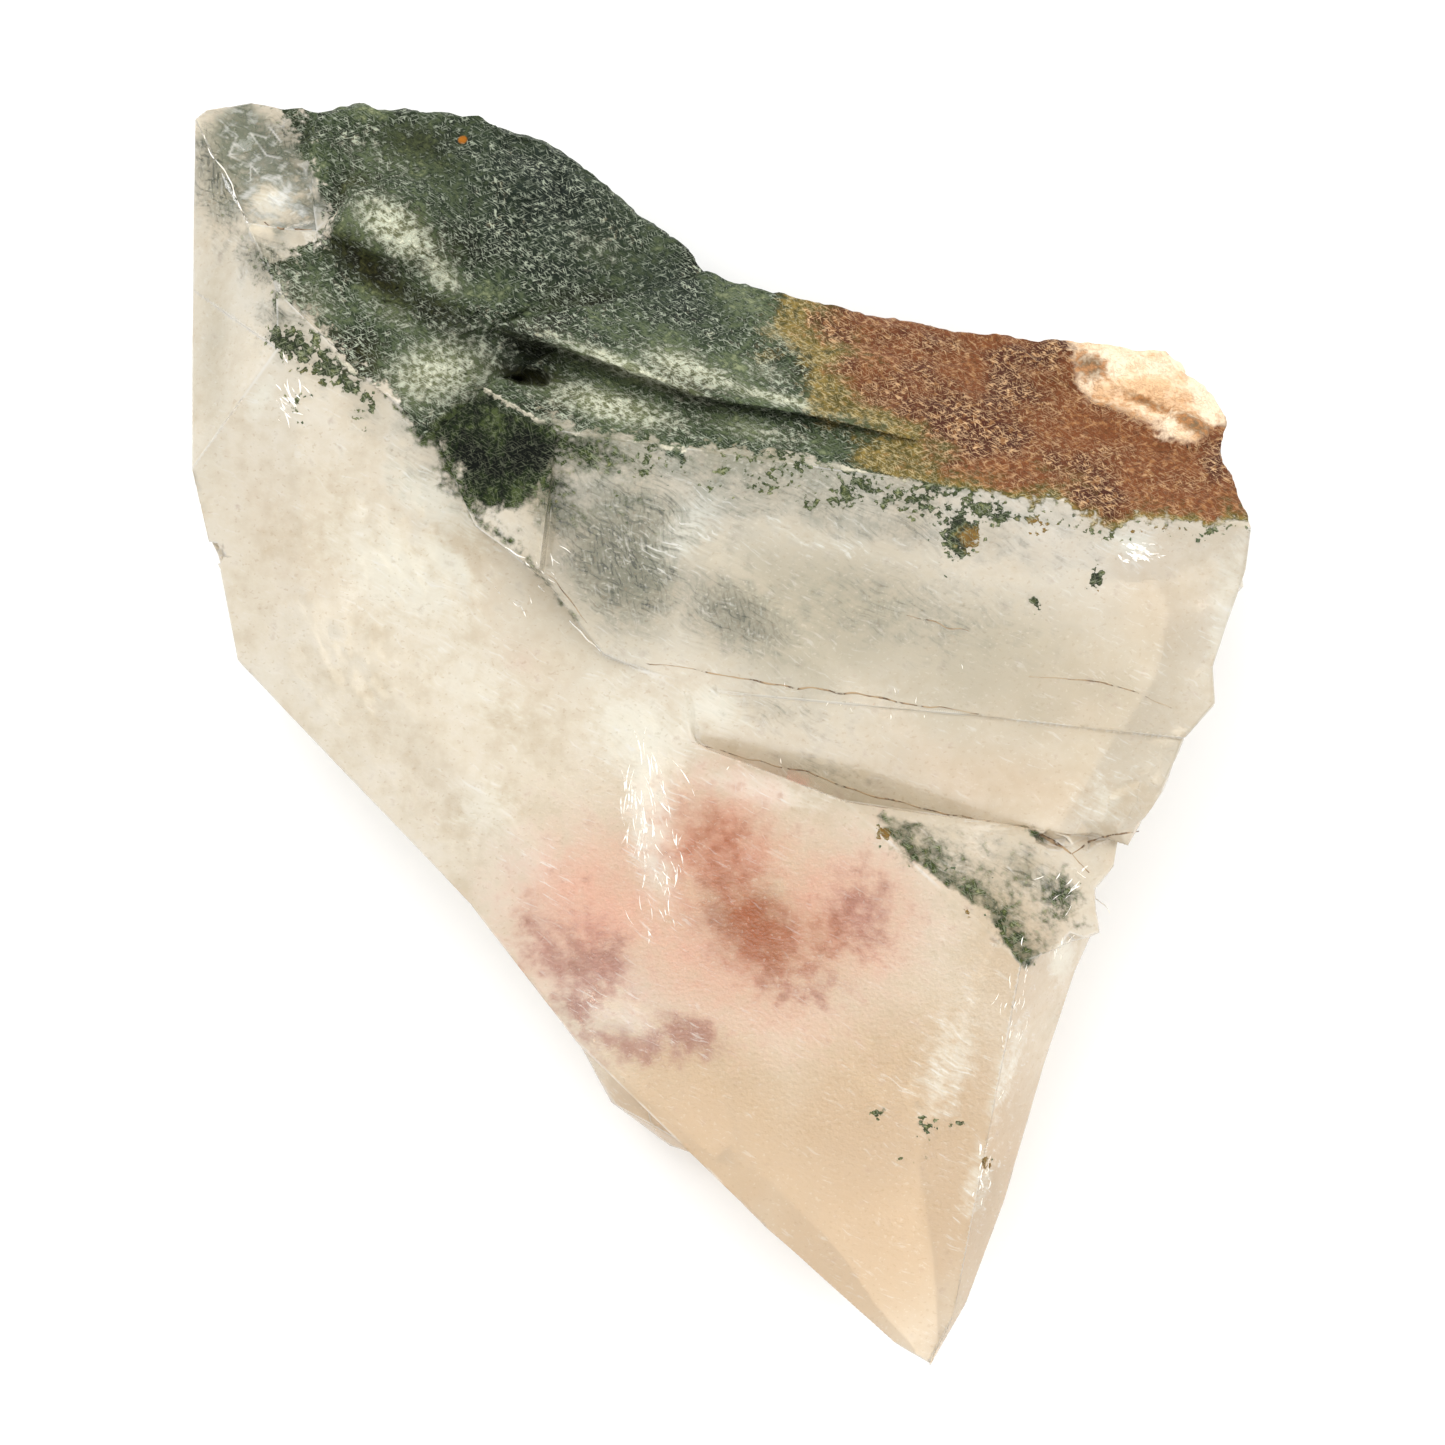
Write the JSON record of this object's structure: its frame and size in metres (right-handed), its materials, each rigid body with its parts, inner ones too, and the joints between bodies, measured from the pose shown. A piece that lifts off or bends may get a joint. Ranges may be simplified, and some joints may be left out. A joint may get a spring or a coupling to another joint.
{
  "type": "chlorite quartz crystal",
  "caption": "Pale see-through quartz specimen of crystals grown across each other, flat faces, a green chlorite and rust crust on top and a broken end, lying on its flat back.",
  "frame": {"origin": "middle of the specimen's box, on the surface that its flat back face lies on", "axes": "+Y up the specimen as the picture shows it, +X to its right, +Z from the flat back to the front faces"},
  "size_m": [0.081, 0.098, 0.0296],
  "materials": {
    "quartz": "clear to milky, cream, smooth glassy faces with crusted green and rust stretches",
    "chlorite": "dull fine-grained dark green mineral, with rust-brown stains"
  },
  "bodies": {
    "root": {"quartz_crystal": "quartz"}
  },
  "joints": []
}
